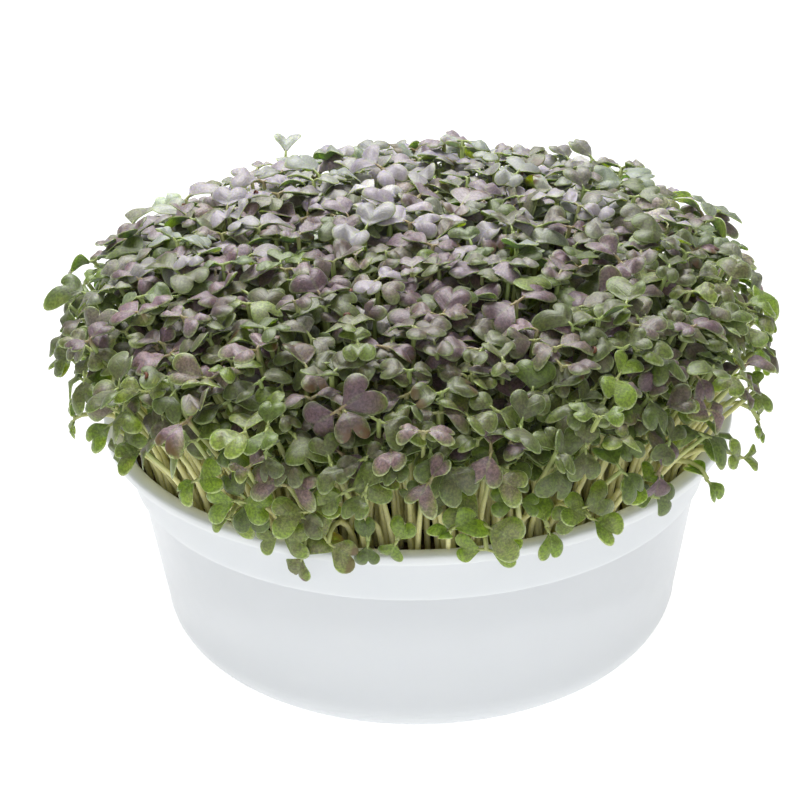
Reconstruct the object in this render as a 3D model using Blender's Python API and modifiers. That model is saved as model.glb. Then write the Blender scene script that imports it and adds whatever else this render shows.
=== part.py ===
"""Mustard microgreens growing in a round white tub.

Metres, +Z up. The origin is the centre of the tub's flat underside.
The seedlings stand in patches: each patch is one root mat, sunk in a plain hole in the growing medium,
with the stems that rise from it and a pair of two-lobed seed leaves on every stem.
"""

import math
import random

import bmesh
import bpy
from mathutils import Matrix, Vector
from mathutils.bvhtree import BVHTree

# Tub
RIM_RADIUS = 0.0900
TUB_HEIGHT = 0.0674
LIP_INNER_RADIUS = 0.0855
LIP_DEPTH = 0.0027
LIP_ROUND = 0.0008
COLLAR_TOP_RADIUS = 0.0864
COLLAR_LOW_RADIUS = 0.0829
COLLAR_DEPTH = 0.0178
STEP_IN = 0.0018
WALL_LOW_RADIUS = 0.0752
CORNER_RADIUS = 0.0115
WALL_THICKNESS = 0.0024
FLOOR_THICKNESS = 0.0030
TUB_SIDES = 48
OUTER_CORNER_STEPS = 3
INNER_CORNER_STEPS = 2
LIP_STEPS = 2
AXIS_MERGE = 0.00002

# Growing medium, which a thin gap keeps off the tub
GAP = 0.0003
SIDE_GAP = 1.5 * GAP
MEDIUM_DEPTH_BELOW_RIM = 0.0080
MEDIUM_TOP = TUB_HEIGHT - MEDIUM_DEPTH_BELOW_RIM

# Root mats
PATCHES = 34
PATCH_FIELD_RADIUS = 0.0695
MAT_RADIUS = 0.0068
MAT_DEPTH = 0.0140
MAT_PROUD = 0.0008
MAT_SIDES = 6
HOLE_MARGIN = 0.0004

# Canopy of leaves, seen as one surface turned about the tub's axis
CANOPY_TOP = 0.1180
CANOPY_WAIST_HEIGHT = 0.0840
CANOPY_RADIUS = 0.0955
CANOPY_SQUARENESS = (2.6, 2.75)
SKIRT_DROP = 0.0130
SKIRT_TUCK = 0.0040
SIDE_CROWDING = 0.5
CANOPY_STEPS = 200

# Seedlings
SEEDLINGS = 103
LEAF_LENGTH = 0.0170
LEAF_LENGTH_VARIATION = 0.0010
SMALLEST_LEAF = 0.78
LEAF_THICKNESS = 0.0008
STEM_RADIUS = 0.0011
STEM_TOP_RADIUS = 0.0006
STEM_SIDES = 3
STEM_SEGMENTS = 2
BENT_STEM_SEGMENTS = 3
STEM_UPRIGHT = 0.55
STEM_SPREAD = 0.35
ROOT_SPREAD = 0.42
ROOT_LIMIT = 0.0039
FULL_OUT = 0.92
ROOT_DEPTH = 0.0030
STEM_RISE = 0.0120
KNEE_ABOVE_RIM = 0.0120
NEIGHBOUR_REACH = 0.0800
ELBOW_ROOM = 1.03
TRIES = 400
WANDER = 0.0090
DEEPEST_LAYER = 0.0140
HIGHEST_LAYER = 0.0020
SINK_EARLY = 3
FACING_TILT = 0.40
FACING_LIFT = Vector((0, 0, 0.35))
GOLDEN_ANGLE = math.pi * (3 - math.sqrt(5))

# Half of one lobe pair, as shares of the leaf's length from the stalk: distance out, distance aside
LOBE_OUTLINE = ((0.24, 0.36), (0.58, 0.58), (0.92, 0.46), (1.0, 0.20))
STALK_HALF_WIDTH = 0.085
NOTCH_DEPTH = 0.83

# Leaf forms: rise from the stalk, droop towards the tip, cup across the midrib, second leaf's size
LEAF_FORMS = (
    (0.42, 0.30, 0.22, 0.92),
    (0.25, 0.35, -0.18, 1.0),
    (0.60, 0.30, 0.30, 0.85),
)

# Seedlings that lean out over the lip: direction in degrees, distance out, height, leaf length
LEANING_OUT = (
    (184, 0.0975, 0.0560, 0.0120),
    (247, 0.0960, 0.0590, 0.0130),
    (225, 0.0950, 0.0640, 0.0130),
    (281, 0.0955, 0.0600, 0.0125),
    (304, 0.0960, 0.0640, 0.0125),
    (330, 0.0965, 0.0620, 0.0130),
    (12, 0.0970, 0.0610, 0.0130),
    (58, 0.0960, 0.0620, 0.0125),
    (105, 0.0960, 0.0600, 0.0130),
    (150, 0.0965, 0.0630, 0.0125),
)
LEANING_SEGMENTS = 5
LEANING_ARCH = 0.0230
LEANING_LIFT = 0.25
LEANING_TURNS = 8

# Fallen seed coats on the medium: direction in degrees, distance out
SEED_COATS = ((262, 0.0785), (214, 0.0790), (318, 0.0788), (96, 0.0785))
COAT_RADIUS = 0.0011
COAT_STRETCH = (1.25, 1.0, 0.6)

# Colours: red, green, blue, then roughness
TUB_WHITE = ((0.86, 0.88, 0.90), 0.35)
MEDIUM_BROWN = ((0.055, 0.035, 0.022), 0.95)
LEAF_GREEN = ((0.13, 0.20, 0.07), 0.60)
LEAF_DUSKY = ((0.20, 0.20, 0.17), 0.62)
LEAF_PURPLE = ((0.20, 0.12, 0.17), 0.62)
COAT_RED_BROWN = ((0.16, 0.05, 0.03), 0.50)
GREEN_SHARE = 0.45
PURPLE_SHARE = 0.25
SEED = 11


def clear_scene():
    """Remove every object that the file opens with."""
    for ob in list(bpy.data.objects):
        bpy.data.objects.remove(ob, do_unlink=True)


def new_collection(name):
    collection = bpy.data.collections.new(name)
    bpy.context.scene.collection.children.link(collection)
    return collection


def new_material(name, look):
    colour, roughness = look
    material = bpy.data.materials.new(name)
    material.use_nodes = True
    shader = material.node_tree.nodes["Principled BSDF"]
    shader.inputs["Base Color"].default_value = (*colour, 1.0)
    shader.inputs["Roughness"].default_value = roughness
    shader.inputs["Metallic"].default_value = 0.0
    return material


def new_object(name, mesh, collection, material=None):
    ob = bpy.data.objects.new(name, mesh)
    collection.objects.link(ob)
    if material:
        mesh.materials.append(material)
    return ob


def mesh_of(name, vertices, faces):
    mesh = bpy.data.meshes.new(name)
    mesh.from_pydata(vertices, [], faces)
    return mesh


def polar(direction, distance, height):
    return Vector((distance * math.cos(direction), distance * math.sin(direction), height))


def arc(centre, radius, start, end, steps):
    """Points along an arc in the (distance out, height) plane, from one angle in degrees to another."""
    points = []
    for step in range(steps + 1):
        angle = math.radians(start + (end - start) * step / steps)
        points.append((centre[0] + radius * math.cos(angle), centre[1] + radius * math.sin(angle)))
    return points


def wall_radius(height):
    """The tub's outer wall below the collar, which narrows a little faster towards its foot."""
    top = TUB_HEIGHT - COLLAR_DEPTH
    share = (top - height) / (top - CORNER_RADIUS)
    wall_top_radius = COLLAR_LOW_RADIUS - STEP_IN
    return wall_top_radius + (WALL_LOW_RADIUS - wall_top_radius) * share


def turned(name, profile, collection, material):
    """A solid turned about Z from a profile that runs down its outer side."""
    points = [(x, 0.0, z) for x, z in profile]
    edges = [(i, i + 1) for i in range(len(points) - 1)]
    mesh = bpy.data.meshes.new(name)
    mesh.from_pydata(points, edges, [])
    ob = new_object(name, mesh, collection, material)
    screw = ob.modifiers.new("turn", "SCREW")
    screw.steps = TUB_SIDES
    screw.render_steps = TUB_SIDES
    screw.use_merge_vertices = True
    screw.merge_threshold = AXIS_MERGE
    screw.use_smooth_shade = True
    return ob


def inner_corner(radius, start, end):
    """The rounded corner between the tub's inner wall and floor, or one inside it."""
    centre = (WALL_LOW_RADIUS - CORNER_RADIUS, FLOOR_THICKNESS + CORNER_RADIUS - WALL_THICKNESS)
    return arc(centre, radius, start, end, INNER_CORNER_STEPS)


def tub_profile():
    """From the middle of the inner floor, up the inside, over the lip and down the outside."""
    collar_low = TUB_HEIGHT - COLLAR_DEPTH
    lip_low = TUB_HEIGHT - LIP_DEPTH
    lip_round_height = TUB_HEIGHT - LIP_ROUND
    profile = [(0.0, FLOOR_THICKNESS)]
    profile += inner_corner(CORNER_RADIUS - WALL_THICKNESS, -90, 0)
    profile.append((wall_radius(collar_low) - WALL_THICKNESS, collar_low))
    profile.append((LIP_INNER_RADIUS - LIP_ROUND, lip_low))
    profile += arc((LIP_INNER_RADIUS + LIP_ROUND, lip_round_height), LIP_ROUND, 180, 90, LIP_STEPS)
    profile += arc((RIM_RADIUS - LIP_ROUND, lip_round_height), LIP_ROUND, 90, 0, LIP_STEPS)
    profile.append((RIM_RADIUS, lip_low + LIP_ROUND / 2))
    profile.append((RIM_RADIUS - LIP_ROUND, lip_low))
    profile.append((COLLAR_TOP_RADIUS, lip_low))
    profile.append((COLLAR_LOW_RADIUS, collar_low + LIP_ROUND))
    profile.append((wall_radius(collar_low), collar_low))
    corner = (WALL_LOW_RADIUS - CORNER_RADIUS, CORNER_RADIUS)
    profile += arc(corner, CORNER_RADIUS, 0, -90, OUTER_CORNER_STEPS)
    profile.append((0.0, 0.0))
    return profile


def medium_profile():
    """From the middle of the top, out to the tub's inner wall and down to the middle of the floor."""
    collar_low = TUB_HEIGHT - COLLAR_DEPTH
    lip_low = TUB_HEIGHT - LIP_DEPTH
    neck = wall_radius(collar_low) - WALL_THICKNESS
    share = (MEDIUM_TOP - collar_low) / (lip_low - collar_low)
    top_radius = neck + (LIP_INNER_RADIUS - LIP_ROUND - neck) * share
    profile = [(0.0, MEDIUM_TOP), (top_radius - SIDE_GAP, MEDIUM_TOP), (neck - SIDE_GAP, collar_low)]
    profile += inner_corner(CORNER_RADIUS - WALL_THICKNESS - SIDE_GAP, 0, -90)
    profile.append((0.0, FLOOR_THICKNESS + SIDE_GAP))
    return profile


def prism(name, centre, radius, top, depth, collection, material=None):
    """An upright six-sided block, for a root mat or the hole that it sits in."""
    bm = bmesh.new()
    bmesh.ops.create_cone(
        bm, cap_ends=True, segments=MAT_SIDES, radius1=radius, radius2=radius, depth=depth
    )
    bmesh.ops.translate(bm, vec=(0, 0, top - depth / 2), verts=bm.verts)
    mesh = bpy.data.meshes.new(name)
    bm.to_mesh(mesh)
    bm.free()
    ob = new_object(name, mesh, collection, material)
    ob.location = (centre.x, centre.y, 0)
    return ob


def patch_centres():
    """Root mats spread evenly over the medium, in the spiral of a seed head."""
    centres = []
    for i in range(PATCHES):
        distance = PATCH_FIELD_RADIUS * math.sqrt((i + 0.5) / PATCHES)
        centres.append(polar(i * GOLDEN_ANGLE, distance, 0.0))
    return centres


def canopy_outline():
    """The canopy's outline: distance out and height, from the middle of its top to its tucked-in hem."""
    out_power, up_power = CANOPY_SQUARENESS
    points = []
    for step in range(CANOPY_STEPS + 1):
        out = math.sin(math.pi / 2 * step / CANOPY_STEPS)
        up = max(0.0, 1 - out ** out_power) ** (1 / up_power)
        height = CANOPY_WAIST_HEIGHT + (CANOPY_TOP - CANOPY_WAIST_HEIGHT) * up
        points.append(Vector((CANOPY_RADIUS * out, height)))
    for step in range(1, CANOPY_STEPS // 4):
        angle = math.pi / 2 * step / (CANOPY_STEPS // 4)
        points.append(Vector((
            CANOPY_RADIUS - SKIRT_TUCK * (1 - math.cos(angle)),
            CANOPY_WAIST_HEIGHT - SKIRT_DROP * math.sin(angle),
        )))
    return points


def spread_over_canopy(count):
    """(distance out, height, outward slope) of heads spread over the canopy, denser at its sides."""
    outline = canopy_outline()
    areas = [0.0]
    for a, b in zip(outline, outline[1:]):
        crowding = 1 + SIDE_CROWDING * (a.x / CANOPY_RADIUS) ** 4
        areas.append(areas[-1] + (b - a).length * (a.x + b.x) * crowding)
    places = []
    k = 0
    for i in range(count):
        wanted = areas[-1] * (i + 0.5) / count
        while areas[k + 1] < wanted:
            k += 1
        along = outline[k + 1] - outline[k]
        point = outline[k] + along * (wanted - areas[k]) / (areas[k + 1] - areas[k])
        sideways = point.y < CANOPY_WAIST_HEIGHT
        slope = Vector((1, 0)) if sideways else Vector((-along.y, along.x)).normalized()
        places.append((point.x, point.y, slope))
    return places


def leaf_pair(form, thickness, collection):
    """Two seed leaves joined at the stalk, in units of the leaf's length: vertices and triangles."""
    rise, droop, cup, second = form
    bm = bmesh.new()
    middle = bm.verts.new((0, 0, 0))
    sides = {}
    for side in (1, -1):
        sides[side] = bm.verts.new((0, side * STALK_HALF_WIDTH, 0))
    for out, size in ((1, 1.0), (-1, second)):
        notch = bm.verts.new((out * NOTCH_DEPTH * size, 0, 0))
        for side in (1, -1):
            lobe = [bm.verts.new((out * u * size, side * v * size, 0)) for u, v in LOBE_OUTLINE]
            bm.faces.new([middle, sides[side], *lobe, notch])
    for vertex in bm.verts:
        u = abs(vertex.co.x)
        vertex.co.z = rise * u - droop * u * u + cup * vertex.co.y ** 2
    bmesh.ops.triangulate(bm, faces=bm.faces, ngon_method="BEAUTY")
    bmesh.ops.recalc_face_normals(bm, faces=bm.faces)
    mesh = bpy.data.meshes.new("leaf_pair")
    bm.to_mesh(mesh)
    bm.free()
    ob = new_object("leaf_pair", mesh, collection)
    solidify = ob.modifiers.new("thickness", "SOLIDIFY")
    solidify.thickness = thickness / LEAF_LENGTH
    solidify.offset = 0.0
    evaluated = ob.evaluated_get(bpy.context.evaluated_depsgraph_get())
    solid = evaluated.to_mesh()
    vertices = [v.co.copy() for v in solid.vertices]
    faces = [tuple(p.vertices) for p in solid.polygons]
    evaluated.to_mesh_clear()
    bpy.data.objects.remove(ob, do_unlink=True)
    bpy.data.meshes.remove(mesh)
    return vertices, faces


def bezier(points, t):
    """A point on the curve through a quadratic or cubic set of control points."""
    while len(points) > 1:
        points = [a.lerp(b, t) for a, b in zip(points, points[1:])]
    return points[0]


def stem_form(path, start, extra, segments):
    """A thin tapering stem along a path, from the share start of its length: vertices and faces."""
    bm = bmesh.new()
    bmesh.ops.create_cone(
        bm, cap_ends=True, segments=STEM_SIDES, radius1=STEM_RADIUS + extra,
        radius2=STEM_TOP_RADIUS + extra, depth=1.0,
    )
    for cut in range(1, segments):
        bmesh.ops.bisect_plane(
            bm, geom=bm.verts[:] + bm.edges[:] + bm.faces[:],
            plane_co=(0, 0, cut / segments - 0.5), plane_no=(0, 0, 1),
        )
    for vertex in bm.verts:
        share = start + (1 - start) * (vertex.co.z + 0.5)
        ahead = bezier(path, min(1.0, share + 0.01)) - bezier(path, max(0.0, share - 0.01))
        turn = Vector((0, 0, 1)).rotation_difference(ahead)
        vertex.co = bezier(path, share) + turn @ Vector((vertex.co.x, vertex.co.y, 0))
    bm.verts.index_update()
    vertices = [v.co.copy() for v in bm.verts]
    faces = [tuple(v.index for v in f.verts) for f in bm.faces]
    bm.free()
    return vertices, faces


def moved(form, matrix):
    vertices, faces = form
    return [matrix @ v for v in vertices], faces


def tree_of(*forms):
    vertices = []
    faces = []
    for part_vertices, part_faces in forms:
        first = len(vertices)
        vertices += part_vertices
        faces += [tuple(i + first for i in face) for face in part_faces]
    return BVHTree.FromPolygons(vertices, faces)


def head_matrix(head, facing, spin, length):
    """Places a leaf pair at head, its upper side along facing, turned by spin about it."""
    turn = Vector((0, 0, 1)).rotation_difference(facing).to_matrix().to_4x4()
    return Matrix.Translation(head) @ turn @ Matrix.Rotation(spin, 4, "Z") @ Matrix.Scale(length, 4)


class Planting:
    """Places seedlings one by one, each bent or turned until it is clear of all the others."""

    def __init__(self, collection, mats, obstacles):
        self.leaves = [leaf_pair(form, LEAF_THICKNESS, collection) for form in LEAF_FORMS]
        self.wide = [leaf_pair(form, LEAF_THICKNESS + 2 * GAP, collection) for form in LEAF_FORMS]
        self.mats = mats
        self.placed = []
        self.taken = []
        self.obstacles = obstacles

    def clear(self, tree, head):
        if any(tree.overlap(obstacle) for obstacle in self.obstacles):
            return False
        for other, other_head in self.taken:
            if (other_head - head).length < NEIGHBOUR_REACH and tree.overlap(other):
                return False
        return True

    def root_of(self, patch, wanted, swing):
        """Where a stem leaves its mat: towards the place it is wanted, but well inside the mat."""
        offset = (wanted - self.mats[patch]) * ROOT_SPREAD
        if offset.length > ROOT_LIMIT:
            offset = offset * (ROOT_LIMIT / offset.length)
        offset.rotate(Matrix.Rotation(swing, 3, "Z"))
        return self.mats[patch] + offset

    def try_place(self, number, patch, root, controls, head, facing, spin, length, segments):
        form = number % len(LEAF_FORMS)
        matrix = head_matrix(head, facing, spin, length)
        sunk = Vector((root.x, root.y, MEDIUM_TOP - ROOT_DEPTH))
        upright = Vector((root.x, root.y, MEDIUM_TOP + STEM_RISE))
        path = [sunk, upright, *controls, head]
        wide_leaf = moved(self.wide[form], matrix @ Matrix.Scale(ELBOW_ROOM, 4))
        wide_stem = stem_form(path, 0.0, GAP, segments)
        tree = tree_of(wide_leaf, wide_stem)
        if not self.clear(tree, head):
            return False
        self.taken.append((tree, head))
        leaf = moved(self.leaves[form], matrix)
        stem = stem_form(path, 0.0, 0.0, segments)
        self.placed.append((patch, leaf, stem))
        return True


def nearest_patch(mats, point):
    return min(range(len(mats)), key=lambda k: (mats[k] - point).length)


def plant_leaning(planting):
    """The few seedlings that arch over the lip and hang outside it."""
    for number, (degrees, distance, height, length) in enumerate(LEANING_OUT):
        direction = math.radians(degrees)
        head = polar(direction, distance, height)
        facing = polar(direction, 1.0, LEANING_LIFT).normalized()
        wanted = polar(direction, PATCH_FIELD_RADIUS, 0.0)
        patch = nearest_patch(planting.mats, wanted)
        arch_height = TUB_HEIGHT + LEANING_ARCH
        rise = polar(direction, (distance + PATCH_FIELD_RADIUS) / 2, arch_height)
        over = polar(direction, distance, arch_height)
        for attempt in range(LEANING_TURNS ** 2):
            swing, spin = divmod(attempt, LEANING_TURNS)
            root = planting.root_of(patch, wanted, swing * 2 * math.pi / LEANING_TURNS)
            if planting.try_place(
                number, patch, root, [rise, over], head, facing,
                spin * math.pi / LEANING_TURNS, length, LEANING_SEGMENTS,
            ):
                break
        else:
            print("no room for leaning seedling", number)


def plant_canopy(planting, draw):
    """The rest, spread over the canopy. Each wanders and shrinks a little until it has room."""
    for i, (distance, height, slope) in enumerate(spread_over_canopy(SEEDLINGS)):
        direction = i * GOLDEN_ANGLE
        surface = polar(direction, distance, height)
        outward = polar(direction, slope.x, slope.y)
        length = LEAF_LENGTH + draw.uniform(-1, 1) * LEAF_LENGTH_VARIATION
        below = min(1.0, distance / (FULL_OUT * CANOPY_RADIUS))
        shared_out = math.sqrt((i + 0.5) / SEEDLINGS)
        wanted = polar(direction, PATCH_FIELD_RADIUS * (below + shared_out) / 2, 0.0)
        patch = nearest_patch(planting.mats, wanted)
        segments = STEM_SEGMENTS if height > CANOPY_WAIST_HEIGHT else BENT_STEM_SEGMENTS
        for attempt in range(TRIES):
            tried = attempt / TRIES
            wander = Vector([draw.uniform(-1, 1) for _ in range(3)]) * (WANDER * tried)
            sink = outward * draw.uniform(-DEEPEST_LAYER, HIGHEST_LAYER) * min(1.0, SINK_EARLY * tried)
            head = surface + wander + sink
            tilt = Vector([draw.uniform(-1, 1) for _ in range(3)]) * FACING_TILT
            facing = (outward + FACING_LIFT + tilt).normalized()
            size = length * (1 - (1 - SMALLEST_LEAF) * tried)
            root = planting.root_of(patch, wanted, draw.uniform(-1, 1) * math.pi * tried)
            level = root.lerp(Vector((head.x, head.y, 0)), STEM_SPREAD)
            knee_height = MEDIUM_TOP + STEM_UPRIGHT * (head.z - MEDIUM_TOP)
            knee = Vector((level.x, level.y, max(knee_height, TUB_HEIGHT + KNEE_ABOVE_RIM)))
            spin = draw.uniform(0, 2 * math.pi)
            if planting.try_place(i, patch, root, [knee], head, facing, spin, size, segments):
                break
        else:
            print("no room for seedling", i)


def pick_material(materials, out, draw):
    """Greener patches towards the rim, dusky and purple ones everywhere."""
    pick = draw.random()
    if pick < GREEN_SHARE * (1 + out) / 2:
        return materials["green"]
    return materials["purple" if pick > 1 - PURPLE_SHARE else "dusky"]


def grow_patches(planting, collection, materials, draw):
    """One node for each patch: its root mat with every stem and leaf pair of the patch joined on."""
    for patch, centre in enumerate(planting.mats):
        pieces = [p for p in planting.placed if p[0] == patch]
        if not pieces:
            continue
        name = f"sprouts_{patch + 1:02d}"
        material = pick_material(materials, centre.length / PATCH_FIELD_RADIUS, draw)
        node = prism(
            name, centre, MAT_RADIUS, MEDIUM_TOP + MAT_PROUD, MAT_DEPTH + MAT_PROUD, collection, material
        )
        joined = new_collection(name + "_pieces")
        for _, leaf, stem in pieces:
            new_object("leaf", mesh_of("leaf", *leaf), joined, material)
            new_object("stem", mesh_of("stem", *stem), joined, material)
        union = node.modifiers.new("join", "BOOLEAN")
        union.operation = "UNION"
        union.operand_type = "COLLECTION"
        union.solver = "EXACT"
        union.collection = joined
        evaluated = node.evaluated_get(bpy.context.evaluated_depsgraph_get())
        fused = bpy.data.meshes.new_from_object(evaluated)
        node.modifiers.remove(union)
        node.data = fused
        for ob in list(joined.objects):
            bpy.data.objects.remove(ob, do_unlink=True)
        bpy.data.collections.remove(joined)


def make_seed_coats(collection, material):
    """Split, flattened seed coats that fell on the medium near the rim."""
    for number, (degrees, distance) in enumerate(SEED_COATS):
        name = f"seed_coat_{number + 1:02d}"
        bm = bmesh.new()
        bmesh.ops.create_icosphere(bm, subdivisions=1, radius=COAT_RADIUS)
        bmesh.ops.scale(bm, vec=COAT_STRETCH, verts=bm.verts)
        mesh = bpy.data.meshes.new(name)
        bm.to_mesh(mesh)
        bm.free()
        mesh.shade_smooth()
        ob = new_object(name, mesh, collection, material)
        height = MEDIUM_TOP + COAT_RADIUS * COAT_STRETCH[2] + GAP
        ob.location = polar(math.radians(degrees), distance, height)
        ob.rotation_euler.z = math.radians(degrees * 2)


def make_medium(parts, cutters, material, mats):
    medium = turned("growing_medium", medium_profile(), parts, material)
    holes = bpy.data.meshes.new("root_holes")
    bm = bmesh.new()
    for centre in mats:
        made = bmesh.ops.create_cone(
            bm, cap_ends=True, segments=MAT_SIDES, radius1=MAT_RADIUS + HOLE_MARGIN,
            radius2=MAT_RADIUS + HOLE_MARGIN, depth=2 * (MAT_DEPTH + HOLE_MARGIN),
        )
        bmesh.ops.translate(bm, vec=(centre.x, centre.y, MEDIUM_TOP), verts=made["verts"])
    bm.to_mesh(holes)
    bm.free()
    cutter = new_object("root_holes", holes, cutters)
    cutter.hide_render = True
    cutter.display_type = "WIRE"
    cut = medium.modifiers.new("root_holes", "BOOLEAN")
    cut.operation = "DIFFERENCE"
    cut.solver = "EXACT"
    cut.object = cutter
    return medium


def main():
    clear_scene()
    draw = random.Random(SEED)
    parts = new_collection("mustard_microgreens_tray")
    cutters = new_collection("cutters")
    tub = turned("tub", tub_profile(), parts, new_material("tub_white", TUB_WHITE))
    mats = patch_centres()
    medium = make_medium(parts, cutters, new_material("medium_brown", MEDIUM_BROWN), mats)
    depsgraph = bpy.context.evaluated_depsgraph_get()
    planting = Planting(cutters, mats, [BVHTree.FromObject(ob, depsgraph) for ob in (tub, medium)])
    plant_leaning(planting)
    plant_canopy(planting, draw)
    print("placed", len(planting.placed), "of", SEEDLINGS + len(LEANING_OUT))
    materials = {
        "green": new_material("leaf_green", LEAF_GREEN),
        "dusky": new_material("leaf_dusky", LEAF_DUSKY),
        "purple": new_material("leaf_purple", LEAF_PURPLE),
    }
    grow_patches(planting, parts, materials, draw)
    make_seed_coats(parts, new_material("seed_coat_brown", COAT_RED_BROWN))
    frame = bpy.data.objects.new("microgreens_tray", None)
    parts.objects.link(frame)
    for ob in parts.objects:
        if ob is not frame:
            ob.parent = frame


main()
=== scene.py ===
"""Looks and camera for the tray of mustard microgreens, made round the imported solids.

Metres, +Z up, in the frame of the solids: the origin is the centre of the tub's flat underside.
Every seedling is a mesh of its own, and the seedlings of one root mat are joined into one piece.
"""

import math
import random

import bmesh
import bpy
import numpy as np
from mathutils import Matrix, Vector, noise
from mathutils.bvhtree import BVHTree


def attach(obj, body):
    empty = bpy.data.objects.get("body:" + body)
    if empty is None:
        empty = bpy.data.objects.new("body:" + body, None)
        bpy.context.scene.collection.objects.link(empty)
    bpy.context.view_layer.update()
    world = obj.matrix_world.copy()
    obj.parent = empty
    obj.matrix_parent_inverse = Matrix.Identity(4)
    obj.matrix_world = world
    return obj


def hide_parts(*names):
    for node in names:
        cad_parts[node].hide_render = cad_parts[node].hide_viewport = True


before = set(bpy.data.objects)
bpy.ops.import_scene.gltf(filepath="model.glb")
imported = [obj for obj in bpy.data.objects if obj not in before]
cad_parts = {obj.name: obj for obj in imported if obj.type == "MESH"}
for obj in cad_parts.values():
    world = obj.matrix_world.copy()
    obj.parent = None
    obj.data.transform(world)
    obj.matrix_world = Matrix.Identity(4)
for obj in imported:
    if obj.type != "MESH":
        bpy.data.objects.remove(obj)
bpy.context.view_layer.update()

# Tub, as in the part's source
RIM_RADIUS = 0.0900
TUB_HEIGHT = 0.0674
LIP_INNER_RADIUS = 0.0855
LIP_DEPTH = 0.0027
LIP_ROUND = 0.0008
COLLAR_TOP_RADIUS = 0.0864
COLLAR_LOW_RADIUS = 0.0829
COLLAR_DEPTH = 0.0178
COLLAR_ROUND_END = -80
STEP_IN = 0.0018
WALL_LOW_RADIUS = 0.0752
CORNER_RADIUS = 0.0115
WALL_THICKNESS = 0.0024
FLOOR_THICKNESS = 0.0030
FINE_TUB_SIDES = 180
ROUND_STEPS = 8

# Growing medium
SIDE_GAP = 0.00045
MEDIUM_TOP = 0.0594
MEDIUM_RINGS = 40
MEDIUM_SIDES = 120
CRUMB_DEPTH = 0.0016
CRUMB_SCALE = 420
CRUMB_FRACTAL = (0.9, 2.1, 3)
DIP_DEPTH = 0.0012
DIP_SCALE = 90
CALM_EDGE = 0.002

# Root mats, and a slot name listed for the leaves of each
PATCHES = 34
PATCH_FIELD_RADIUS = 0.0695
GOLDEN_ANGLE = math.pi * (3 - math.sqrt(5))
GREEN_PATCHES = (1, 3, 5, 6, 13, 14, 15, 18, 20, 21, 25, 26, 28, 29, 31)
PURPLE_PATCHES = (7, 8, 10, 24, 27, 30, 32, 34)
SLOTS = [
    "leaf_green" if k in GREEN_PATCHES else "leaf_purple" if k in PURPLE_PATCHES else "leaf_dusky"
    for k in range(1, PATCHES + 1)
]

# Canopy of heads, seen as one surface turned about the tub's axis
CANOPY_TOP = 0.1184
CANOPY_WAIST_HEIGHT = 0.0860
CANOPY_RADIUS = 0.0980
CANOPY_SQUARENESS = (2.6, 2.75)
SKIRT_DROP = 0.0100
SKIRT_TUCK = 0.0040
CANOPY_STEPS = 200

# How far a head may stand out of the canopy's top and side
ABOVE_TOP = 0.0012
BEYOND_SIDE = 0.0004

# How crowded the heads are at some heights
CROWDING = ((0.074, 0.086, 0.098, 0.108), (0.07, 0.20, 0.62, 1.0))

# Where the shoulder and the hem stand higher than round: direction and width in degrees, lift
SHOULDERS = ((48, 30, 0.0040), (125, 32, -0.0008))
HIGH_HEM = (200, 32, 0.0100)

# Seedlings
SEED = 7
SEEDLINGS = 1000
INNER_SEEDLINGS = 380
AGED_SHARE = 0.035
ROOT_FIELD_RADIUS = 0.0812
ROOT_CROWDING = 0.45
ROOT_DEPTH = 0.0090
ROOT_TAPER = 0.35
LEAF_LENGTHS = (0.0062, 0.0094)
TOP_GROWTH = ((0.100, 0.115), (1.0, 1.10))
ARCH_BELOW = 0.078
OUTSIDE_ARCH_BELOW = 0.084
OUTSIDE_SIZE = 0.88

# Where an arching stem passes over the lip: distance out, and height above the rim
OVER_LIP = (0.084, 0.011)

# Share of the seedlings in each layer, and how far their heads are sunk under the canopy
LAYERS = ((0.62, 0.0, 0.0050), (0.27, 0.0050, 0.0120), (0.11, 0.0120, 0.0200))
LAYER_OVERLAP = 0.0018

# Small seedlings below the canopy
INNER_DEPTHS = (0.012, 0.024)
INNER_LENGTH = 0.0062
INNER_PURPLE = 0.2
INNER_OUT = 0.090
INNER_UP = 0.104

# Finding room: tries for each seedling, how near another has to be to matter, and what the tub counts
TRIES = 18
NEAR = 0.030
TUB_COUNTS = 5
TUB_CLEARANCE = 0.0006
LIP_ZONE = (0.0842, RIM_RADIUS + 0.0010)
LIP_ZONE_LOW = 0.040
PROXY_SIZE = 1.05

# Seed leaf: one unit long, its half outline a straight side, the arc of one lobe, then the notch
LOBE_CENTRE = (0.62, 0.32)
LOBE_RADIUS = 0.335
LOBE_END = math.radians(-42)
NOTCH = 0.69
STALK_HALF_WIDTH = 0.06
CURL_CENTRE = 0.30
CURL_START = 0.38
RIPPLE = 0.012
FINE_STEPS = (2, 9)
FINE_ACROSS = (-1.0, -0.92, -0.5, 0.0, 0.5, 0.92, 1.0)
PLAIN_STEPS = (1, 5)
PLAIN_ACROSS = (-1.0, 0.0, 1.0)
LEAF_THICKNESS = 0.00045
MARGIN_THICKNESS = 0.00024
MIDRIB_DEPTH = 0.00028

# Leaves are plain where they are sunk this deep under the canopy and their heads are this high
PLAIN_DEPTH = 0.0110
PLAIN_ABOVE = 0.096

# Stems and leaf stalks
STEM_SIDES = 6
STEM_RINGS = 8
STEM_RADIUS = (0.00088, 0.00060)
STALK_SIDES = 5
STALK_RINGS = 4
STALK_RADIUS = (0.00048, 0.00036)
STALK_INTO_LEAF = 0.10
STALK_BELOW_LEAF = 0.0002
STALK_INTO_STEM = 0.0006

# Which of the two materials of a piece of seedlings a face has
LEAF, STEM = 0, 1

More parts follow.
